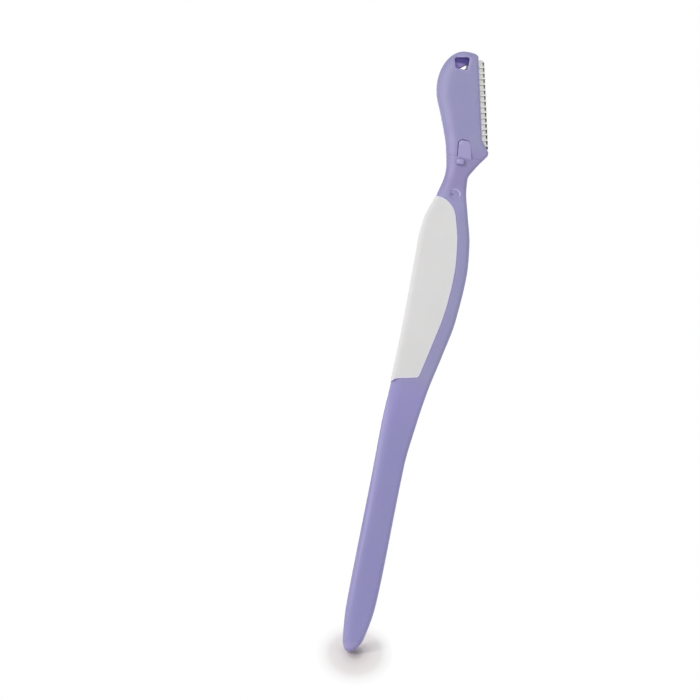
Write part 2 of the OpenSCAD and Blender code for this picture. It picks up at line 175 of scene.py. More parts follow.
def right(z):
    low = mix(tip_middle, right_curve(z), tip_share(z))
    head = np.maximum(blade_line(z), np.minimum(chin_x, notch_line(z)))
    corner = mix(crown_x, blade_line(top - corner_h), round_end((z - top + corner_h) / corner_h, 3))
    high = np.where(z < top - corner_h, head, corner)
    return np.where(z < tip_r, low, np.where(z < chin, right_curve(z), high))


def respaced(line, step, closed=False):
    """The line again, with its points spaced evenly and about a step apart."""
    line = np.vstack([line, line[:1]]) if closed else line
    run = np.concatenate([[0], np.cumsum(np.hypot(*np.diff(line, axis=0).T))])
    count = max(2, round(run[-1] / step))
    at = np.linspace(0, run[-1], count + 1)[: count if closed else None]
    return pairs(*(np.interp(at, run, column) for column in line.T))


def outward(line, closed=True):
    """Unit vectors to the left of a line, which point out of a clockwise loop."""
    along = np.roll(line, -1, 0) - np.roll(line, 1, 0)
    if not closed:
        along[0], along[-1] = line[1] - line[0], line[-1] - line[-2]
    return pairs(-along[:, 1], along[:, 0]) / np.hypot(*along.T)[:, None]


def eased(values, rounds):
    """A closed row of values, each drawn a little towards its neighbours, some times over."""
    for _ in range(rounds):
        values = (np.roll(values, 1, 0) + 2 * values + np.roll(values, -1, 0)) / 4
    return values


def body_outline(grow=0.0):
    """The whole moulded outline, up its left side and down its right, grown outwards."""
    finest, fine, step, rounds = 0.08, 0.1, 0.3, 6
    turn = np.linspace(0, math.pi / 2, 60)
    up = np.concatenate([tip_r * (1 - np.cos(turn)), np.arange(tip_r, top - crown_h, fine)[1:]])
    rise = np.concatenate([up, top - crown_h * (1 - np.sin(turn))])
    straight = np.arange(top - crown_h, top - corner_h, fine)
    fall = np.concatenate([up, straight, top - corner_h * (1 - np.sin(turn))])[::-1]
    line = np.vstack([pairs(left(rise), rise), pairs(right(fall), fall)[1:]])
    line = eased(respaced(line, finest, closed=True), rounds)
    line = respaced(line, step, closed=True)
    line[:, 1] -= tip_drop * capped(1 - line[:, 1] / tip_r) ** 2
    return line + grow * outward(line)


def closest(points, others):
    """For each point, which of the others is the closest, and how far away that one is."""
    tree = KDTree(len(others))
    for i, (x, z) in enumerate(others):
        tree.insert((x, z, 0), i)
    tree.balance()
    found = [tree.find((x, z, 0)) for x, z in points]
    return np.array([i for _, i, _ in found]), np.array([away for _, _, away in found])


def nearest(points, line, values=None, closed=True):
    """Distance of each point to a line, and the line's value at the nearest place."""
    values = np.zeros(len(line)) if values is None else values
    found = closest(points, line)[0]
    best, value = np.full(len(points), np.inf), np.zeros(len(points))
    for start in (found - 1, found):
        start = start % len(line) if closed else np.clip(start, 0, len(line) - 2)
        end = (start + 1) % len(line)
        a, step = line[start], line[end] - line[start]
        t = capped(((points - a) * step).sum(1) / (step ** 2).sum(1))
        away = np.hypot(*(points - a - t[:, None] * step).T)
        value = np.where(away < best, mix(values[start], values[end], t), value)
        best = np.minimum(best, away)
    return best, value


def shoulder(distance, width):
    """Share of the height at a distance in from the edge, along a quarter of an ellipse."""
    return np.sqrt(1 - (1 - capped(distance / np.maximum(width, nothing))) ** 2)


def inside(points, loop):
    """Which points lie inside a loop."""
    within = np.zeros(len(points), bool)
    for (x0, z0), (x1, z1) in zip(loop, np.roll(loop, -1, 0)):
        if z0 == z1:
            continue
        crosses = (points[:, 1] < z0) != (points[:, 1] < z1)
        within ^= crosses & (points[:, 0] < x0 + (points[:, 1] - z0) * (x1 - x0) / (z1 - z0))
    return within


def rings(line, width, steps, closed=True, side=1):
    """Rows of points beside a line, inside a clockwise loop or with side -1 outside, with gaps."""
    width = np.broadcast_to(width, len(line))
    shares = 1 - np.cos(np.linspace(0, math.pi / 2, steps + 1))
    return [(line - side * outward(line, closed) * (width * share)[:, None],
             0.5 * width * (share - before))
            for before, share in zip(shares, shares[1:])]


def lattice(low, high, gap):
    """Points in a triangular pattern between two heights, over all that the razor is wide."""
    far_left, far_right = -10, 14
    rows, x = np.arange(low, high, gap * 0.87), np.arange(far_left, far_right, gap)
    return np.vstack([pairs(x + gap / 2 * (k % 2), z) for k, z in enumerate(rows)]), 0.65 * gap


def skin(loops, rows, lines):
    """A flat triangle net inside an outline and round its holes: points, triangles, and the
    loops' own points in it. Lines are kept as edges of the net."""
    kept = np.vstack([*loops, *lines])
    count = sum(map(len, loops))
    for points, gap in rows:
        clear = closest(points, kept)[1] > gap
        inner = np.all([inside(points, loop) == (k == 0) for k, loop in enumerate(loops)], axis=0)
        kept = np.vstack([kept, points[clear & inner]])
    edges, start = [], 0
    for k, line in enumerate([*loops, *lines]):
        last = len(line) if k < len(loops) else len(line) - 1
        edges += [(start + i, start + (i + 1) % len(line)) for i in range(last)]
        start += len(line)
    made = delaunay_2d_cdt([Vector(p) for p in kept], edges, [], 0, 1e-6, True)
    where = {old: new for new, olds in enumerate(made[3]) for old in olds}
    walls = [(where[a], where[b]) for a, b in edges[:count]]
    sides = [list(zip(t, (*t[1:], t[0]))) for t in made[2]]
    owner = {side: i for i, three in enumerate(sides) for side in three}
    shut = {*walls, *((b, a) for a, b in walls)}
    queue, within = [owner[b, a] for a, b in walls[: len(loops[0])]], set()
    while queue:
        i = queue.pop()
        if i not in within:
            within.add(i)
            queue += [owner[b, a] for a, b in sides[i] if (a, b) not in shut]
    points = np.array([(v.x, v.y) for v in made[0]])
    return points, [made[2][i] for i in sorted(within)], [where[i] for i in range(count)]


def dress(piece, sharp=35):
    """Cleans a mesh, turns its faces outwards and smooths it but for its sharp edges."""
    same_place = 1e-8
    shape = bmesh.new()
    shape.from_mesh(piece.data)
    bmesh.ops.remove_doubles(shape, verts=shape.verts, dist=same_place)
    loose = [v for v in shape.verts if not v.link_faces]
    bmesh.ops.delete(shape, geom=loose, context="VERTS")
    bmesh.ops.recalc_face_normals(shape, faces=shape.faces)
    shape.to_mesh(piece.data)
    shape.free()
    piece.data.shade_smooth()
    piece.data.set_sharp_from_angle(angle=math.radians(sharp))


def add_object(name, data):
    """An object in the scene, made of a mesh, a light or a camera."""
    made = bpy.data.objects.new(name, data)
    bpy.context.scene.collection.objects.link(made)
    return made


def shell(name, corners, faces, sharp=35, **marks):
    """A closed mesh object, smooth but for its sharp edges, with marks for its points."""
    mesh = bpy.data.meshes.new(name)
    mesh.from_pydata([tuple(map(float, c)) for c in corners], [], faces)
    for mark_name, values in marks.items():
        mesh.attributes.new(mark_name, "FLOAT", "POINT").data.foreach_set("value", values)
    piece = add_object(name, mesh)
    dress(piece, sharp)
    return piece


def moulding(name, loops, front, back):
    """A closed moulded piece: a front and a back face inside the same loops, with walls along
    them. Each face is (rows of points, depth in y at a point, lines kept in its net)."""
    corners, faces, borders = [], [], []
    for side, (rows, depth, lines) in enumerate((front, back)):
        points, triangles, border = skin(loops, rows, lines)
        first = len(corners)
        corners += [place(x, y, z) for (x, z), y in zip(points, depth(points))]
        faces += [tuple(first + i for i in (t if side else t[::-1])) for t in triangles]
        borders.append([first + i for i in border])
    start = 0
    for loop in loops:
        for i in range(len(loop)):
            a, b = start + i, start + (i + 1) % len(loop)
            faces.append((borders[0][a], borders[0][b], borders[1][b], borders[1][a]))
        start += len(loop)
    return shell(name, corners, faces)


def flat(y):
    """A flat face at one depth."""
    return [], lambda points: np.full(len(points), y), []


def plate(name, loops, y0, y1):
    """A flat closed piece between two depths, to join to a moulding or to cut it with."""
    return moulding(name, loops, flat(y0), flat(y1))


def work(piece, tool, step, keep=False):
    """Joins the tool to a piece, or cuts the piece with it."""
    change = piece.modifiers.new(step, "BOOLEAN")
    change.object, change.operation, change.solver = tool, step, "MANIFOLD"
    changed = piece.evaluated_get(bpy.context.evaluated_depsgraph_get())
    shape = bpy.data.meshes.new_from_object(changed)
    piece.modifiers.clear()
    piece.data = shape
    if not keep:
        bpy.data.objects.remove(tool)
    dress(piece)


front_curve = smooth_curve([
    [0, tail_depth], [swell, tail_depth],
    [mix(swell, belly, 0.5), mix(tail_depth + back_y, belly_depth + back_y, 0.6) - back_y],
    [belly, belly_depth], [neck, neck_depth], [seam - 1, head_depth], [top, head_depth],
])


def pillow(z):
    return mix(0.5, 1, round_end(1 - z / pillow_run))


def shoulder_widths(loop):
    """Width of the rounded shoulder along the outline: broad on the left, narrow by the blade."""
    z = loop[:, 1]
    left_side = loop[:, 0] < np.where(z > top - crown_h, crown_x, (left(z) + right(z)) / 2)
    on_left = smooth_curve([
        [0, 2.6], [20, 2.6], [swell, 2.9], [belly, 3.2], [neck, 2.7], [chin, 3],
        [chin + 10, 3.3], [top - 8, 3.7], [top - 3, 3.2], [top, 1.8]])(z)
    on_right = smooth_curve([
        [0, 1], [swell, 0.7], [belly, 1], [neck, 0.8], [chin, 0.3], [top - 1, 0.3], [top, 1.5]])(z)
    wide = np.minimum(np.where(left_side, on_left, on_right), 0.45 * (right(z) - left(z)) + 0.3)
    return eased(wide, 12)


def softened(depth, reach):
    """The depth function with its creases spread out, but not beyond the outline."""
    count = 8
    turn = np.arange(count) * 2 * math.pi / count

    def soft(points, away):
        r = np.minimum(reach, 0.95 * away)[:, None]
        near = [points + r * (math.cos(t), math.sin(t)) for t in turn]
        near += [points + 0.5 * r * (math.sin(t), math.cos(t)) for t in turn[::2]]
        return np.mean([depth(p) for p in near], axis=0)

    return soft


back_wide, back_round, lip_start, crease_reach = 1.2, 1.0, 30, 0.35
side_rim = smooth_curve([
    [0, 0.3], [35, 0.3], [50, 0.4], [62, 0.48], [70, 0.64], [118, 0.66], [125, 0.56], [130, 0.4],
    [chin + 1, 0.3], [top, 0.3]])
round_bevel = smooth_curve([
    [0, 0], [0.02, 0.1], [0.06, 0.19], [0.15, 0.36], [0.3, 0.58], [0.6, 0.87], [0.8, 0.965], [1, 1]])
lipped_bevel = smooth_curve([
    [0, 0], [0.02, 0.06], [0.06, 0.1], [0.2, 0.17], [0.3, 0.27], [0.7, 0.77], [0.85, 0.93], [1, 1]])


def moulded_front(loop, widths, proud=0.0):
    """Front of the razor inside an outline, before its seams, marks and openings."""
    def raw(points):
        z = points[:, 1]
        away, wide = nearest(points, loop, widths)
        height = front_curve(z) * pillow(z) + proud
        lipped, inward = capped((z - lip_start) / (chin - lip_start)), capped(away / wide)
        rise = mix(round_bevel(inward), lipped_bevel(inward), lipped)
        return -height * mix(side_rim(z), 1, rise)

    soft = softened(raw, crease_reach)
    return lambda points: soft(points, nearest(points, loop)[0])


def moulded_back(loop):
    """Flat back of the razor inside an outline, with its rounded border."""
    def depth(points):
        deep = (back_y + 0.1) * pillow(points[:, 1])
        drop = np.minimum(back_round, deep / 2)
        away = nearest(points, loop)[0]
        return np.minimum(back_y, deep - drop * (1 - shoulder(away, back_wide)))

    return depth


def fillet(distance, radius):
    """How far a rounded edge falls away at a distance in from it."""
    t = 1 - capped(distance / radius)
    return radius * (1 - np.sqrt(1 - t * t))


def arc_corners(rows):
    """A clockwise outline from rows of [x, z, radius of that corner]."""
    rows, arc_points, line = np.array(rows, float), 8, []
    corners, radii = rows[:, :2], rows[:, 2]
    for before, here, after, r in zip(np.roll(corners, 1, 0), corners, np.roll(corners, -1, 0), radii):
        u, v = ((other - here) / np.hypot(*(other - here)) for other in (before, after))
        half = math.acos(u @ v) / 2
        middle = here + (u + v) / np.hypot(*(u + v)) * r / math.sin(half)
        start, end = (here + side * r / math.tan(half) for side in (u, v))
        for t in np.linspace(0, 1, arc_points if r else 1):
            chord = mix(start, end, t) - middle
            line.append(middle + chord * r / np.hypot(*chord) if r else start)
    return np.array(line)


# The soft grip fills a bay in the handle's left side, which goes through from front to back.
grip_low, grip_high, grip_end = 72.2, 121.3, 5
grip_corner, grip_rise, grip_dip = 1.2, 1.2, 0.8
strip_width = smooth_curve([[grip_low, 3.6], [86, 3.57], [94, 3.25], [grip_high, 3.2]])


def grip_border():
    """Edge of the grip seen from the front: its lower edge, its blade side and its end."""
    z_round, z_side = grip_high - grip_end, grip_low + grip_rise + grip_corner
    low_left, low_right = float(left(grip_low - grip_dip)), float(right(z_side) - strip_width(z_side))
    low_curve = smooth_curve([
        [low_left - 2, -grip_dip - 0.1], [low_left, -grip_dip], [low_left + 0.5, -0.35],
        [low_left + 1.1, 0.1], [low_left + 3.9, 0.75], [low_right - grip_corner, grip_rise]])
    x = np.linspace(low_left, low_right - grip_corner, 40)
    turn = np.linspace(0, math.pi / 2, 9)[1:-1]
    z = np.linspace(z_side, z_round, 200)
    end = np.linspace(0, math.pi / 2, 60)[1:]
    z_end = z_round + grip_end * np.sin(end)
    end_x = mix(left(z_end), right(z_end) - strip_width(z_end), round_end(np.sin(end), 2.5))
    return respaced(np.vstack([
        pairs(x, grip_low + low_curve(x)),
        pairs(low_right - grip_corner * (1 - np.sin(turn)), z_side - grip_corner * np.cos(turn)),
        pairs(right(z) - strip_width(z), z),
        pairs(end_x, z_end),
    ]), 0.3)


def split(loop, low, high):
    """The loop's points on its left side between two heights, and all the others in turn."""
    on_left = loop[:, 0] < (left(loop[:, 1]) + right(loop[:, 1])) / 2
    bay = on_left & (loop[:, 1] > low) & (loop[:, 1] < high)
    last = np.flatnonzero(bay)[-1]
    rest = np.roll(np.arange(len(loop)), -last - 1)[: len(loop) - bay.sum()]
    return loop[bay], loop[rest]


def with_points_at(loop, heights):
    """The loop with a point added wherever it crosses one of the heights."""
    points = []
    for a, b in zip(loop, np.roll(loop, -1, 0)):
        points.append(a)
        crossed = [z for z in heights if (a[1] - z) * (b[1] - z) < 0]
        for z in sorted(crossed, key=lambda z: abs(z - a[1])):
            points.append(mix(a, b, (z - a[1]) / (b[1] - a[1])))
    return np.array(points)


def line_across(loop, z):
    """The line across a loop at a height where it has points of its own."""
    ends = loop[np.abs(loop[:, 1] - z) < nothing]
    return respaced(ends[np.argsort(ends[:, 0])], 0.15)


def circle(x, z, radius, count=48):
    """A clockwise circle."""
    turn = -np.arange(count) * 2 * math.pi / count
    return pairs(x + radius * np.cos(turn), z + radius * np.sin(turn))


def closed_line(loop):
    return np.vstack([loop, loop[:1]])


body = body_outline()
body_widths = shoulder_widths(body)
body_front, body_back = moulded_front(body, body_widths), moulded_back(body)
border = grip_border()
border_gap, hair, seam_round, bay_round, parting = 0.15, 0.01, 0.05, 0.1, 0.06
seam_gap, past_shoulder, fine_step = 0.05, 0.35, 0.12
seat_z = seam - seam_gap
bare = split(body, border[0, 1] - border_gap, border[-1, 1] + border_gap)[1]
handle_loop = with_points_at(np.vstack([border, bare]), [seat_z, seat_z + hair])

# Hanging hole, wedge-shaped nub below the tongue, and the round mark that an ejector pin leaves
# on the neck, with the pit of the gate in it
hole_x, hole_z, hole_r, hole_round, hole_back = -axis_x, -tip_z, 1.1, 0.1, 0.25
nub_x, nub_z, nub_w, nub_r, nub_edge = 4.65, seat_z - 1.55, 1.95, 0.45, 0.25
nub_proud, nub_slope, nub_under, nub_tilt, nub_crest = 0.35, 0.28, 1.6, 0.12, -0.45
mark_x, mark_z, mark_r, mark_deep, mark_soft = 4.72, neck - 4.62, 1.45, 0.2, 0.35
gate_x, gate_z, gate_r, gate_deep, gate_soft = 4, neck - 4.6, 0.35, 0.2, 0.15
draft, nub_rim, crest_half, crest_wide = 0.04, 0.35, 0.8, 0.05
tongue_x, tongue_w, tongue_len, tongue_r = 5.54, 3.6, 4.35, 1
nub_foot = respaced(arc_corners([
    [nub_x + i * nub_w / 2, nub_z + k * nub_w / 2, nub_r]
    for i, k in ((-1, -1), (-1, 1), (1, 1), (1, -1))
]), 0.1, closed=True)
hole = circle(hole_x, hole_z, hole_r)
mark, gate = circle(mark_x, mark_z, mark_r), circle(gate_x, gate_z, gate_r, 24)


def seam_mark(points):
    """How much the seam shows: in full left of the tongue, faintly right of it and by the outline."""
    within = np.clip((nearest(points, body)[0] - 0.4) / 0.9, 0.1, 1)
    return within * mix(1, 0.2, capped(points[:, 0] - tongue_x))


def handle_front(points):
    """y of the handle's front, and above the seam of the seat that the cover lies on."""
    x, z = points.T
    seat = fillet(np.hypot(x - hole_x, z - hole_z) - hole_r, hole_round)
    seat += fillet(nearest(points, body)[0], parting)
    y = body_front(points)
    y += fillet(seat_z - z, seam_round) * seam_mark(points)
    y += fillet(nearest(points, border, closed=False)[0], bay_round)
    y += mark_deep * shoulder(mark_r - np.hypot(x - mark_x, z - mark_z), mark_soft)
    y += gate_deep * shoulder(gate_r - np.hypot(x - gate_x, z - gate_z), gate_soft)
    away = nearest(points, nub_foot)[0] * inside(points, nub_foot)
    half, up = nub_w / 2, z - nub_z
    proud = np.minimum(nub_proud + nub_slope * (half - up), nub_under * (half + up))
    proud += nub_tilt * (x - nub_x)
    y -= proud * mix(nub_rim, 1, shoulder(away - draft, nub_edge)) * (away > draft / 2)
    return np.where(z > seat_z + hair / 2, seat, y)


def handle_back(points):
    """y of the handle's flat back."""
    y = body_back(points) - fillet(nearest(points, border, closed=False)[0], bay_round)
    return y - fillet(np.hypot(points[:, 0] - hole_x, points[:, 1] - hole_z) - hole_r, hole_back)


step_low, step_high = (line_across(handle_loop, z) for z in (seat_z, seat_z + hair))
crest_z, crest_gap = nub_z + nub_crest, 0.04
crest = pairs(np.linspace(nub_x - crest_half, nub_x + crest_half, 17), crest_z)
seam_rows = [(step_low - (0, seam_round * share), hair) for share in (0.15, 0.4, 0.7, 1)]
bay_rows = rings(border, bay_round, 3, closed=False)
handle = moulding(
    "handle_body", [handle_loop, hole],
    (seam_rows + bay_rows + rings(nub_foot, nub_edge + draft, 5) + [(crest, crest_gap)]
     + rings(mark, mark_soft, 4) + rings(mark, 0.3, 2, side=-1)
     + rings(gate, gate_soft, 4) + rings(hole, hole_round, 3, side=-1) + rings(body, parting, 2)
     + rings(body, body_widths + past_shoulder, 10)
     + [lattice(0, 8, 0.35), lattice(mark_z - 3, mark_z + 3, 0.3),
        lattice(seat_z - 4, seat_z, 0.35), lattice(0, seat_z, 0.7), lattice(seat_z, top, 2)],
     handle_front, [step_low, step_high, *map(closed_line, (nub_foot, mark, gate))]),
    (bay_rows + rings(hole, hole_back, 4, side=-1) + rings(body, back_wide, 5)
     + [lattice(0, 8, 0.35), lattice(0, top, 1.2)], handle_back, []))

# Latch tongue that stands in the notch of the cover, proud at its root and free behind
left_lean, right_lean, tongue_snug = 0.5, 1.05, 0.07
tongue_proud, tongue_flush, tongue_back, tongue_root, tongue_edge = 0.3, 4, 0.35, 0.7, 0.17


def tongue_outline(low, slot=0.0, fit=0.0):
    """The tongue seen from the front, or the notch round it with a slot and a snug right side."""
    x0, x1 = tongue_x - tongue_w / 2, tongue_x + tongue_w / 2 + fit
    high, up = seat_z + tongue_len, (low - seat_z) / tongue_len
    return respaced(arc_corners([
        [x0 - left_lean * up - 0.5 * slot, low, 0],
        [x0 - left_lean - slot, high + slot, tongue_r + slot],
        [x1 - right_lean, high + fit, tongue_r],
        [x1 - right_lean * up, low, 0],
    ]), fine_step)


def tongue_front(points):
    """y of the tongue's front, which rises below the seam and comes down to the cover's level."""
    up = points[:, 1] - seat_z
    proud = tongue_proud * capped(np.where(up < 0, 1 + up / tongue_root, 1 - up / tongue_flush))
    edge = mix(tongue_edge, tongue_snug, capped((points[:, 0] - tongue_x) / 1.2))
    return fillet(nearest(points, tongue)[0], edge) - head_depth - proud


tongue_sides = tongue_outline(seat_z - tongue_root)
tongue = np.vstack([tongue_sides, respaced(tongue_sides[[-1, 0]], fine_step)[1:-1]])
work(handle, moulding(
    "tongue", [tongue],
    (rings(tongue, tongue_edge, 5) + [lattice(seat_z - 1, seat_z + 6, 0.35)], tongue_front, []),
    flat(-tongue_back)), "UNION")

# Core plate under the grip, with the holes that key it, the two pins that locate the blade and
# the pocket that the blade and its guard lie in
core_low, core_high, core_front, core_back = grip_low - 1.7, grip_high + 1.5, -1.5, 0.3
wrap_w, core_inset, key_r, key_shift = 1.3, 2.9, 1.4, 0.5
guard_low, guard_high, guard_t, hold_depth, slack = -2.5, 21.2, 0.53, 2.2, 0.01
pin_u, pin_inset, pin_r, pin_front, pin_sunk, pin_gap = -1.1, 4.5, 0.6, -1, 0.3, 0.03
pocket_front, pocket_end = -0.3, 8


def blade_point(u, v):
    """The place in the front view of a point u out from the head and v up the blade."""
    c, _, s = tilted(blade_lean)[0]
    return pairs(edge_x + u * c - v * s, notch_top + u * s + v * c)


def core_sides(z):
    return left(z) + wrap_w, right(z) - core_inset


core_z = np.linspace(core_low, core_high, 60)
core_left, core_right = (pairs(x, core_z) for x in core_sides(core_z))
core_outline = np.vstack([core_left, core_right[::-1]])
key_heights = [mix(grip_low, grip_high, share / 3.5) for share in (1, 2, 3)]
keys = [circle(float(sum(core_sides(z))) / 2 - key_shift, z, key_r) for z in key_heights]
core = plate("core", [core_outline, *keys], core_front, core_back)
work(handle, core, "UNION", keep=True)
held, foot_end, head_end = -hold_depth - slack, guard_low - slack, guard_high + slack
pocket = np.array([blade_point(held, foot_end), blade_point(held, head_end),
                   blade_point(pocket_end, head_end), blade_point(pocket_end, foot_end)])
work(handle, plate("pocket", [pocket], pocket_front, guard_t + slack), "DIFFERENCE")
pins = [blade_point(pin_u, v) for v in (guard_low + pin_inset, guard_high - pin_inset)]
for pin in pins:
    work(handle, plate("pin", [circle(*pin, pin_r)], pin_front, guard_t + pin_sunk), "UNION")


def node(tree, kind, *in_order, **by_name):
    """A shader node's first output, with its inputs linked or set."""
    made = tree.nodes.new("ShaderNode" + kind)
    for key, value in [*enumerate(in_order), *by_name.items()]:
        socket = made.inputs[key if isinstance(key, int) else key.replace("_", " ")]
        if isinstance(value, bpy.types.NodeSocket):
            tree.links.new(value, socket)
        else:
            socket.default_value = value
    return made.outputs[0] if made.outputs else None


def own_place(tree):
    """The place on a piece, in its own frame."""
    return tree.nodes.new("ShaderNodeTexCoord").outputs["Object"]


def worked_out(tree, kind, operation, *inputs):
    """The number that comes from an operation on the inputs."""
    made = node(tree, kind, *inputs).node
    made.operation = operation
    return made.outputs["Value"]


def way_from(tree, x, z, direction):
    """How far the place on a piece is from a point of the front view, in a direction."""
    way = worked_out(tree, "VectorMath", "DOT_PRODUCT", own_place(tree), direction)
    return worked_out(tree, "Math", "SUBTRACT", way, Vector(place(x, 0, z)) @ Vector(direction))


def times(tree, colour, other):
    """A colour darkened by another."""
    product = node(tree, "MixRGB", 1, colour, other)
    product.node.blend_type = "MULTIPLY"
    return product


def grain(tree, size, detail=2, turn=0):
    """Noise with patches of a size in mm, which may differ along x, y and z, turned about y."""
    turned = node(tree, "Mapping", Vector=own_place(tree), Rotation=(0, math.radians(turn), 0))
    scale = [1 / (mm * s) for s in np.broadcast_to(size, 3)]
    sized = node(tree, "Mapping", Vector=turned, Scale=scale)
    return node(tree, "TexNoise", Vector=sized, Scale=1, Detail=detail)


def tones(tree, share, *stops):
    """A colour that follows a share, from stops of (share, colour) or (share, grey)."""
    tone = node(tree, "ValToRGB", Fac=share)
    ramp = tone.node.color_ramp
    ramp.elements.remove(ramp.elements[1])
    for i, (at, colour) in enumerate(stops):
        stop = ramp.elements[0] if i == 0 else ramp.elements.new(at)
        stop.position, stop.color = at, (*(colour if isinstance(colour, tuple) else 3 * (colour,)), 1)
    return tone


def levels(tree, noise, low, high):
    """A number that goes from low to high with a noise, which stays near its middle."""
    return node(tree, "MapRange", Value=noise, From_Min=0.3, From_Max=0.7, To_Min=low, To_Max=high)


def relief(tree, *layers):
    """Fine bumps in layers of (share, height in mm)."""
    normal = None
    for share, height in layers:
        before = {"Normal": normal} if normal else {}
        normal = node(tree, "Bump", Distance=height * mm, Height=share, **before)
    return normal


def blank(name):
    """A material without nodes, and its empty tree."""
    made = bpy.data.materials.new(name)
    made.use_nodes = True
    made.node_tree.nodes.clear()
    return made, made.node_tree


def shade(tree, **inputs):
    """Ends a material with its shader."""
    node(tree, "OutputMaterial", Surface=node(tree, "BsdfPrincipled", **inputs))


def coat(piece, *materials):
    """Gives a piece its materials, all of it in the first one."""
    piece.data.materials.clear()
    for material in materials:
        piece.data.materials.append(material)
    for face in piece.data.polygons:
        face.material_index = 0


def mark_points(piece, name, share):
    """Stores a share for each point of a piece, from its place in mm, for its material."""
    values = np.asarray(share(in_mm([v.co for v in piece.data.vertices])), np.float32)
    piece.data.attributes.new(name, "FLOAT", "POINT").data.foreach_set("value", values)


def stored(tree, name):
    made = tree.nodes.new("ShaderNodeAttribute")
    made.attribute_name = name
    return made.outputs["Fac"]


def height_share(tree, low, high):
    """A share that goes from 0 to 1 between two heights above the tip."""
    height = node(tree, "SeparateXYZ", own_place(tree)).node.outputs["Z"]
    return node(tree, "MapRange", Value=height,
                From_Min=(low + tip_z) * mm, From_Max=(high + tip_z) * mm)


# Satin lavender plastic: its tone drifts along the handle and turns violet at the neck. It is
# faintly cloudy, with a fine matt grain and flow lines. At marked points it is painted paler as
# painted light, lighter still as painted highlights, and darker as painted shade.
lavender, tree = blank("lavender_plastic")
cloud, matt, flow = grain(tree, 7), grain(tree, 0.12, 3), grain(tree, (2.5, 2.5, 16))
usual = (0.3, 0.291, 0.492)
drift = tones(tree, height_share(tree, 58, 138), (0, (0.271, 0.258, 0.503)),
              (0.125, (0.292, 0.268, 0.54)), (0.2, usual), (0.73, usual), (0.78, (0.318, 0.308, 0.53)),
              (0.84, (0.284, 0.253, 0.463)), (0.92, (0.287, 0.257, 0.467)), (0.98, usual))
cloudy = times(tree, drift, tones(tree, cloud, (0.3, (0.965, 0.955, 1)), (0.7, (1, 1, 0.985))))
# Painted light at marked points: a paler lavender, a near white lavender for painted highlights, and a
# dark violet for painted shade
painted_lighter = node(tree, "MixRGB", stored(tree, "painted_light"), cloudy, (0.355, 0.325, 0.57, 1))
painted_glint = node(tree, "MixRGB", stored(tree, "painted_glint"), painted_lighter, (0.54, 0.5, 0.78, 1))
shade(tree, Base_Color=node(tree, "MixRGB", stored(tree, "painted_shade"), painted_glint, (0.15, 0.135, 0.31, 1)),
      Roughness=levels(tree, matt, 0.32, 0.42), Normal=relief(tree, (matt, 0.0012), (flow, 0.006)),
      Subsurface_Weight=0.12, Subsurface_Radius=(1, 0.9, 1.2), Subsurface_Scale=0.0006)


def mark_arc(x, z):
    """Share of the upper right of the round mark's edge, and distance from its middle."""
    arc_middle, arc_half, arc_fade = 62, 70, 18
    turn = np.degrees(np.arctan2(z - mark_z, x - mark_x))
    arc = capped((arc_half - np.abs(turn - arc_middle)) / arc_fade)
    return arc, np.hypot(x - mark_x, z - mark_z)


def painted_sheen_band(at):
    """Share of the band along the left of the neck and the head that is painted paler, as a painted
    sheen.
    """
    x, y, z = at.T
    along = smooth_curve([[126, 0], [132, 0.3], [150, 0.3], [157, 0]])(z)
    return along * smooth_curve([[0, 0], [0.8, 1], [2.2, 1], [3.2, 0]])(x - left(z)) * (y < 0)


def handle_painted_light(at):
    """Where painted light makes it paler: the tongue, the nub's upper face, the tip, and the left of
    the edge, neck and head.
    """
    x, y, z = at.T
    in_front = at[:, [0, 2]]
    tongue_part = inside(in_front, tongue) * (y < -1.2) * capped((z - seat_z) / tongue_root + 1)
    nub_part = 0.8 * inside(in_front, nub_foot) * (z > crest_z - crest_wide) * (y < -1.5)
    tip_part = 0.8 * capped(1.3 - z / 2.4)
    edge_part = 0.5 * capped((34 - z) / 14) * capped(1.3 - (x - left(z)) / 0.9) * (y < 0)
    return np.max([tongue_part, nub_part, tip_part, edge_part, painted_sheen_band(at)], axis=0)


def handle_painted_glints(at):
    """Where painted highlights go: the round mark's edge, beside its pit, and raised corners."""
    x, y, z = at.T
    arc, away = mark_arc(x, z)
    arc_part = 0.9 * arc * capped(1.7 - np.abs(away - mark_r + 0.08) / 0.12)
    specks = [0.6 * capped(1.5 - np.hypot(x - speck_x, z - speck_z) / size)
              for speck_x, speck_z, size in (
                  (gate_x + 0.16, gate_z + 0.5, 0.2), (nub_x - 0.55, nub_z + 0.3, 0.25),
                  (tongue_x - 1.6, seat_z + 3.6, 0.3))]
    return np.max([arc_part, *specks], axis=0) * (y < -1.2)


def handle_painted_shade(at):
    """Where painted shade goes: under the nub, inside the mark's edge and in the pit of the gate."""
    x, y, z = at.T
    nub_part = 0.4 * inside(at[:, [0, 2]], nub_foot) * (z < crest_z - crest_wide)
    arc, away = mark_arc(x, z)
    arc_part = 0.35 * arc * capped(1.4 - np.abs(away - mark_r + 0.42) / 0.12)
    pit = 0.32 * (np.hypot(x - gate_x, z - gate_z) < gate_r + 0.01)
    return np.max([nub_part, arc_part, pit], axis=0) * (y < 0)


# Painted light, painted highlights and painted shade, stored on the handle's points for its material
for look, share in (("painted_light", handle_painted_light), ("painted_glint", handle_painted_glints), ("painted_shade", handle_painted_shade)):
    mark_points(handle, look, share)
coat(handle, lavender)
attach(handle, "root")
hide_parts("handle")


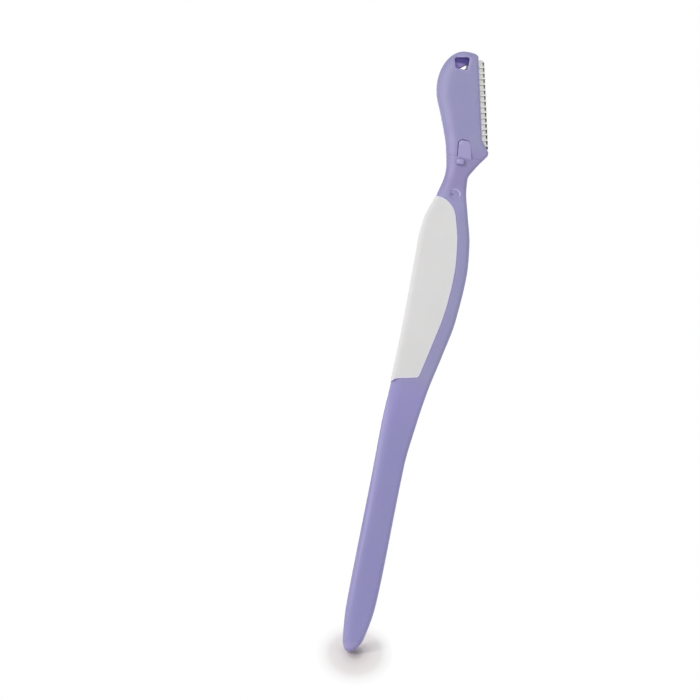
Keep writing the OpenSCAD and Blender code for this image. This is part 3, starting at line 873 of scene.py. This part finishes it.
# Head cover. The front half of the head, moulded in the same plastic as the handle and pressed
# on over the blade. Its window shows the hanging hole, and it is notched round the tongue.
window_x, window_z, window_w, window_h, window_r = crown_x + 1.05, top - 4.8, 3.75, 3.3, 0.5
tongue_slot, tongue_fit, cover_round, rim_wide, rim_deep = 0.28, 0.02, 0.06, 0.6, 0.3
cover_low, foot_step = seam - 0.03, 0.25
levelled = with_points_at(body, [cover_low])
above_seam = levelled[levelled[:, 1] >= cover_low - nothing]
low_left = np.argmax(np.where(above_seam[:, 0] < neck_x, -above_seam[:, 1], -np.inf))
above = np.roll(above_seam, -low_left, 0)
notch = tongue_outline(cover_low, tongue_slot, tongue_fit)[::-1]
foot = np.vstack([respaced(np.array([above[-1], notch[0]]), foot_step), notch[1:-1],
                  respaced(np.array([notch[-1], above[0]]), foot_step)])
cover_loop = np.vstack([above, foot[1:-1]])
window = respaced(arc_corners([
    [window_x - window_w + 0.55, window_z, window_r],
    [window_x - window_w - 0.15, window_z + window_h - 0.5, window_r],
    [window_x + 0.05, window_z + window_h, window_r],
    [window_x, window_z - 0.1, 0.3],
]), fine_step, closed=True)


def cover_front(points):
    """y of the cover's front, with the rounded rims of its foot, its notch and its window."""
    right_share = capped(points[:, 0] - tongue_x)
    show = np.where(points[:, 1] < cover_low + 0.1, seam_mark(points), mix(1, 0.3, right_share))
    y = body_front(points) + fillet(nearest(points, foot, closed=False)[0], cover_round) * show
    return y + rim_deep * (1 - shoulder(nearest(points, window)[0], rim_wide))


def cover_back(points):
    return -fillet(nearest(points, body)[0], parting)


cover = moulding(
    "head_cover_shell", [cover_loop, window],
    (rings(foot, cover_round, 4, closed=False) + rings(window, rim_wide, 6, side=-1)
     + rings(body, body_widths + past_shoulder, 10) + [lattice(seam, top, 0.45)], cover_front, []),
    (rings(body, parting, 2) + [lattice(seam, top, 2)], cover_back, []))
for pin in pins:
    socket = plate("socket", [circle(*pin, pin_r + pin_gap)], pin_front - pin_gap, 1)
    work(cover, socket, "DIFFERENCE")

# Shelf inside the window, with its lower right corner cut off at a slant and so left open
shelf_t, shelf_front, shelf_wider, shelf_high = 0.45, -0.01, 0.3, top - 1.2
open_x, open_z, open_slope = hole_x - 0.4, hole_z - 0.8, 40
slant_rise = math.tan(math.radians(open_slope))
shelf_low, shelf_left = window_z - shelf_wider, window_x - window_w - shelf_wider
shelf_right = window_x + shelf_wider
shelf_outline = np.array([
    [shelf_left, shelf_low], [shelf_left, shelf_high], [shelf_right, shelf_high],
    [shelf_right, open_z + (shelf_right - open_x) * slant_rise],
    [open_x + (shelf_low - open_z) / slant_rise, shelf_low]])
work(cover, plate("shelf", [shelf_outline], -shelf_t, shelf_front), "UNION")

# Satin lavender plastic with painted shade for the window: the shelf is painted darker, with a painted
# shadow up its top and painted shade at its slant edge
window_painted_shade, tree = blank("lavender_plastic_with_painted_window_shade")
matt = grain(tree, 0.12, 3)
deep = tones(tree, height_share(tree, window_z + 1.3, window_z + 1.8),
             (0, (0.24, 0.19, 0.46)), (1, (0.055, 0.038, 0.21)))
inward = node(tree, "MapRange", Value=way_from(tree, open_x, open_z, tilted(open_slope)[1]),
              From_Min=0.1 * mm, From_Max=0.4 * mm)
# Painted shade: near black along the slant edge of the shelf
shade(tree, Base_Color=node(tree, "MixRGB", inward, (0.05, 0.04, 0.1, 1), deep),
      Roughness=levels(tree, matt, 0.4, 0.5), Normal=relief(tree, (matt, 0.0012)))
coat(cover, lavender, window_painted_shade)
# Faces of the shelf and the window's walls get the painted window shade
middles = in_mm([face.center for face in cover.data.polygons])
on_shelf = inside(middles[:, [0, 2]], window) & (middles[:, 1] > -1)
for face, painted_shade in zip(cover.data.polygons, on_shelf):
    face.material_index = int(painted_shade)
# Painted light on the cover: the sheen band on the left and a paler rim round the window
mark_points(cover, "painted_light", lambda at: np.maximum(painted_sheen_band(at), 0.8 * (at[:, 1] < -0.8) * capped(
    1.2 - nearest(at[:, [0, 2]], window)[0] / rim_wide)))
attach(cover, "root")
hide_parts("head_cover")


# Grip. White soft rubber moulded over the core plate. It fills the bay in the handle, wraps its
# left edge from front to back and stands a little proud. It dips into a fine groove at its border,
# where it turns a paler lavender: partly the tint of the thin rubber, partly a painted highlight.
grip_proud, grip_dip_round, grip_back_round, grip_slack = 0.15, 0.2, 0.12, 0.02
round_share, groove_reach, thin_w = 0.14, 0.9, 0.4
grown = body_outline(grip_proud)
grown_widths = round_share * shoulder_widths(grown)
swollen = split(grown, border[0, 1] + border_gap, border[-1, 1] - border_gap)[0]
grip_edge = border + grip_slack * outward(border, closed=False)
grip_loop = np.vstack([swollen, grip_edge[::-1]])
grip_swell, grip_flat = moulded_front(grown, grown_widths, grip_proud), moulded_back(grown)


def grip_front(points):
    return grip_swell(points) + fillet(nearest(points, grip_edge, closed=False)[0], grip_dip_round)


def grip_back(points):
    return grip_flat(points) - fillet(nearest(points, grip_edge, closed=False)[0], grip_back_round)


grip = moulding(
    "grip_overmould", [grip_loop],
    (rings(grip_edge, grip_dip_round, 4, closed=False, side=-1) + rings(grown, grown_widths, 8)
     + rings(grip_edge, groove_reach, 4, closed=False, side=-1)
     + [lattice(grip_low - 2, grip_high, 0.6)], grip_front, []),
    (rings(grip_edge, grip_back_round, 3, closed=False, side=-1) + rings(grown, back_wide, 5)
     + [lattice(grip_low - 2, grip_high, 1.2)], grip_back, []))
work(grip, core, "DIFFERENCE")

soft_white, tree = blank("soft_white_rubber")
cloud, matt = grain(tree, 8), grain(tree, 0.1, 4)
white = tones(tree, cloud, (0.3, (0.69, 0.69, 0.685)), (0.7, (0.71, 0.71, 0.705)))
# Along the border a paler lavender: partly the tint of the thin rubber, partly a painted highlight on
# the rim
shade(tree, Base_Color=node(tree, "MixRGB", stored(tree, "tint_and_painted_highlight"), white, (0.73, 0.715, 0.86, 1)),
      Roughness=levels(tree, matt, 0.66, 0.8), Normal=relief(tree, (matt, 0.003), (cloud, 0.01)),
      Sheen_Weight=0.12, Sheen_Roughness=0.5,
      Subsurface_Weight=0.1, Subsurface_Radius=(1, 0.95, 0.9), Subsurface_Scale=0.0008)
mark_points(grip, "tint_and_painted_highlight", lambda at: (at[:, 1] < 0) * capped(
    1.5 - nearest(at[:, [0, 2]], grip_edge, closed=False)[0] / thin_w))
coat(grip, soft_white)
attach(grip, "root")
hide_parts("grip")


# Blade guard. A strip of bright stainless sheet folded over the edge of the blade, with sixteen
# slots punched in its fold and a rib pressed across it between each two of them.
sheet, guard_reach, guard_corner, slot_w, slot_start = 0.12, 1.65, 1.2, 1, 1.05
slot_count, slot_low, slot_high = 16, 0.36, 1.24
rib_w_share, rib_proud, rib_clear, rib_start, shade_w = 0.8, 0.08, 0.1, 0.15, 0.4
fold_r = guard_t / 2
guard_along = [-hold_depth, -0.6, -0.1, 0.1, 0.3, 0.6, 0.85, slot_start, 1.2]
slot_pitch = (guard_high - guard_low - slot_low - slot_high) / (slot_count - 1)
slots = guard_low + slot_low + slot_pitch * np.arange(slot_count)
ribs = slots[:-1] + slot_pitch / 2
rib_w = (slot_pitch - slot_w) * rib_w_share


def guard_rows():
    """Heights up the blade of the rows of the sheet's net."""
    rows = {guard_low, guard_high}
    for middle in slots:
        rows |= {round(middle + slot_w * share, 4) for share in (-0.5, -0.25, 0, 0.25, 0.4, 0.5)}
        rows |= {round(middle + slot_pitch / 2 + rib_w * share, 4)
                 for share in (-0.5, -0.42, -0.25, 0, 0.25, 0.42, 0.5)}
    turn = np.linspace(0, math.pi / 2, 10)
    rows |= {round(z, 4) for z in guard_high - guard_corner * (1 - np.sin(turn))}
    rows = np.array(sorted(z for z in rows if guard_low <= z <= guard_high))
    return rows[np.concatenate([[True], np.diff(rows) > 0.01])]


def guard_path():
    """Places across the folded sheet as [share of the flat, degrees of the fold's turn]."""
    flat_end = guard_reach - fold_r
    shares = [(u + hold_depth) / (flat_end + hold_depth) for u in guard_along]
    fold = [(1, angle) for angle in np.linspace(-90, 90, 9)]
    return [(share, -90) for share in shares] + fold + [(share, 90) for share in reversed(shares)]


def guard_net(rows, path):
    """Points of the sheet's outer and inner side row by row, and how much painted shade each place
    gets.
    """
    outer, inner, tarnish = [], [], []
    for v in rows:
        over = capped((v - guard_high + guard_corner) / guard_corner)
        flat_end = guard_reach - guard_corner * (1 - np.sqrt(1 - over * over)) - fold_r
        to_rib = v - ribs[np.argmin(np.abs(v - ribs))]
        low_u = max(0, -v * math.tan(math.radians(notch_lean - blade_lean))) + rib_clear
        crest = max(0, 1 - (2 * to_rib / rib_w) ** 2)
        # Painted shade: full at the foot of each rib and fading down from it, faint elsewhere between
        # the ribs
        below = capped(1 + (to_rib + rib_w / 2) / shade_w) * (to_rib < -rib_w / 2 + 1e-6)
        beside = 0.17 * (abs(to_rib) > rib_w / 2 - 1e-6)
        for share, angle in path:
            u = -hold_depth + share * (flat_end + hold_depth)
            turn = math.radians(angle)
            step = np.array([math.cos(turn) if share == 1 else 0, math.sin(turn)])
            press = rib_proud * crest * capped((u - low_u) / rib_start)
            for side, reach in ((outer, fold_r + press), (inner, fold_r - sheet)):
                out, y = step * reach + (min(u, flat_end), fold_r)
                x, z = blade_point(out, v)
                side.append(place(x, y, z))
            tarnish.append(float(max(below, beside)))
    return outer, inner, tarnish


def guard_faces(rows, wide):
    """Faces of both sides of the sheet, and of the walls round it and round its slots."""
    faces, count = [], len(rows) * wide
    slot_first = guard_along.index(slot_start)
    for i in range(len(rows) - 1):
        in_slot = np.min(np.abs((rows[i] + rows[i + 1]) / 2 - slots)) < slot_w / 2
        for k in range(wide - 1):
            if not (in_slot and slot_first <= k < wide - 1 - slot_first):
                here, above = i * wide + k, (i + 1) * wide + k
                faces.append((here, here + 1, above + 1, above))
    edges = dict.fromkeys(edge for face in faces for edge in zip(face, face[1:] + face[:1]))
    walls = [(a, b, b + count, a + count) for a, b in edges if (b, a) not in edges]
    return faces + [tuple(i + count for i in face[::-1]) for face in faces] + walls


rows, path = guard_rows(), guard_path()
outer, inner, tarnish = guard_net(rows, path)
guard = shell("blade_guard_sheet", outer + inner, guard_faces(rows, len(path)), 30, tarnish=tarnish * 2)

bright_steel, tree = blank("bright_guard_steel")
rolled, cloud = grain(tree, (0.03, 0.3, 2), 3, turn=blade_lean), grain(tree, 0.6, 3)
clean = tones(tree, cloud, (0.35, (0.62, 0.62, 0.61)), (0.65, (0.78, 0.78, 0.76)))
# Painted shade under and between the ribs darkens the steel
shade(tree, Base_Color=node(tree, "MixRGB", stored(tree, "tarnish"), clean, (0.2, 0.19, 0.19, 1)),
      Metallic=1, Roughness=levels(tree, rolled, 0.22, 0.36),
      Normal=relief(tree, (rolled, 0.0015), (cloud, 0.004)))
coat(guard, bright_steel)
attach(guard, "root")
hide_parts("blade_guard")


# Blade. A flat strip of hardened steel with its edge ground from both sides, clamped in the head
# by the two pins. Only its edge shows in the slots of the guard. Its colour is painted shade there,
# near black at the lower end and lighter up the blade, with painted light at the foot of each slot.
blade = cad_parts["blade"]
blade_steel, tree = blank("ground_blade_steel")
ground = grain(tree, (1.5, 1.5, 0.03), 2, turn=blade_lean)
# Painted shade: near black by the notch, lightening up the blade
along = tones(tree, height_share(tree, notch_top - 2.2, notch_top + 20),
              (0, (0.012, 0.01, 0.012)), (0.05, (0.035, 0.032, 0.03)), (1, (0.17, 0.16, 0.15)))
from_slot = way_from(tree, *blade_point(0, slots[0] - slot_w / 2), tilted(blade_lean)[1])
in_pitch = worked_out(tree, "Math", "FLOORED_MODULO", from_slot, slot_pitch * mm)
up_slot = node(tree, "MapRange", Value=in_pitch, From_Max=slot_w * mm)
painted_light_at_slot_feet = node(tree, "MixRGB", tones(tree, up_slot, (0.1, 0.55), (0.6, 0)), along,
               (0.5, 0.49, 0.46, 1))
streaks = times(tree, painted_light_at_slot_feet, tones(tree, ground, (0.35, 0.7), (0.65, 1)))
shade(tree, Base_Color=streaks,
      Metallic=1, Roughness=levels(tree, ground, 0.3, 0.45), Normal=relief(tree, (ground, 0.001)))
for slot in blade.material_slots:
    slot.material = blade_steel


# Floor. A small patch of warm white paper close under the tip, tilted a little towards the
# camera, which fades into the white background round the razor's shadow. Round the tip the
# paper is painted darker as a painted shadow, darkest where the tip stands.
picture_lean, floor_tilt = 10.3, math.radians(16)
floor_r, floor_deep, floor_gap, shadow_left, corners = 11, 20, 0.35, 1.2, 96
image_right, image_up = map(Vector, tilted(picture_lean))
upright = math.cos(floor_tilt) * image_up - math.sin(floor_tilt) * Vector((0, 1, 0))
lowest = min((v.co for v in handle.data.vertices), key=lambda point: point.dot(upright))
floor_mesh = bpy.data.meshes.new("white_floor")
floor_rim = [(floor_r * mm * math.cos(t), floor_deep * mm * math.sin(t), 0)
             for t in np.arange(corners) * 2 * math.pi / corners]
floor_mesh.from_pydata(floor_rim, [], [tuple(range(corners))])
floor = add_object("white_floor", floor_mesh)


def stand(thing, at, *axes):
    """Puts an object at a place, with its own x, y and z along three directions."""
    thing.matrix_world = Matrix.Translation(at) @ Matrix(axes).transposed().to_4x4()


stand(floor, lowest - floor_gap * mm * upright, image_right, -image_right.cross(upright), upright)
paper, tree = blank("white_paper")
squeezed = node(tree, "Mapping", Vector=own_place(tree), Location=(-shadow_left * mm, 0, 0),
                Scale=(1, floor_r / floor_deep, 1))
from_middle = worked_out(tree, "VectorMath", "LENGTH", squeezed)
outward_share = node(tree, "MapRange", Value=from_middle, From_Max=floor_r * mm)
fade = tones(tree, outward_share, (0.15, 0), (0.4, 0.3), (0.6, 0.45), (0.75, 0.8), (0.95, 1))
# Painted shadow: the paper darkest where the tip stands, warm grey around it
painted_floor_shadow = tones(tree, outward_share, (0.04, (0.42, 0.39, 0.4)), (0.22, (0.72, 0.67, 0.66)))
lit = node(tree, "BsdfDiffuse", Color=painted_floor_shadow)
plain = node(tree, "Emission", Color=(1, 1, 1, 1), Strength=1)
node(tree, "OutputMaterial", Surface=node(tree, "MixShader", fade, lit, plain))
floor_mesh.materials.append(paper)


# Studio. White all round behind the razor, with soft light from everywhere, a tall lamp at the
# left that gives the rounded left side its light band, and weaker ones at the right and behind.
world = bpy.data.worlds.new("studio")
bpy.context.scene.world = world
world.use_nodes = True
tree = world.node_tree
tree.nodes.clear()
ray = tree.nodes.new("ShaderNodeLightPath").outputs
soft_sky = node(tree, "Background", Color=(1, 1, 1, 1), Strength=0.57)
white_sky = node(tree, "Background", Color=(1, 1, 1, 1), Strength=1)
seen = soft_sky
for kind in ("Glossy", "Transmission", "Camera"):
    seen = node(tree, "MixShader", ray[f"Is {kind} Ray"], seen, white_sky)
node(tree, "OutputWorld", Surface=seen)


def lamp(name, at, width, power, colour=(1, 1, 1)):
    """A tall soft lamp at a place in mm, turned to the middle of the razor."""
    aim, tall = Vector((0, 0, -80)), 420
    light = bpy.data.lights.new(name, "AREA")
    light.shape, light.size, light.size_y = "RECTANGLE", width * mm, tall * mm
    light.energy, light.color = power, colour
    holder = add_object(name, light)
    holder.location = Vector(at) * mm
    holder.rotation_euler = (aim - Vector(at)).to_track_quat("-Z", "Y").to_euler()


lamp("left_lamp", (-340, -235, 0), 110, 1.07, (1, 0.965, 0.98))
lamp("right_lamp", (325, -250, -40), 200, 0.34)
lamp("rear_lamp", (0, 400, 0), 300, 0.7)

# Camera at the photograph's angle: square to the front of the razor, with its top leaning right
camera_x, camera_z, camera_away, view_wide, sensor_w = -15.6, -78.6, 450, 183.8, 36
camera = add_object("camera", bpy.data.cameras.new("camera"))
camera.data.sensor_width, camera.data.lens = sensor_w, sensor_w * camera_away / view_wide
camera.data.clip_start = 0.01
camera_at = Vector((camera_x, -camera_away, camera_z)) * mm
stand(camera, camera_at, image_right, image_up, Vector((0, -1, 0)))
bpy.context.scene.camera = camera
bpy.context.scene.view_settings.view_transform = "Standard"
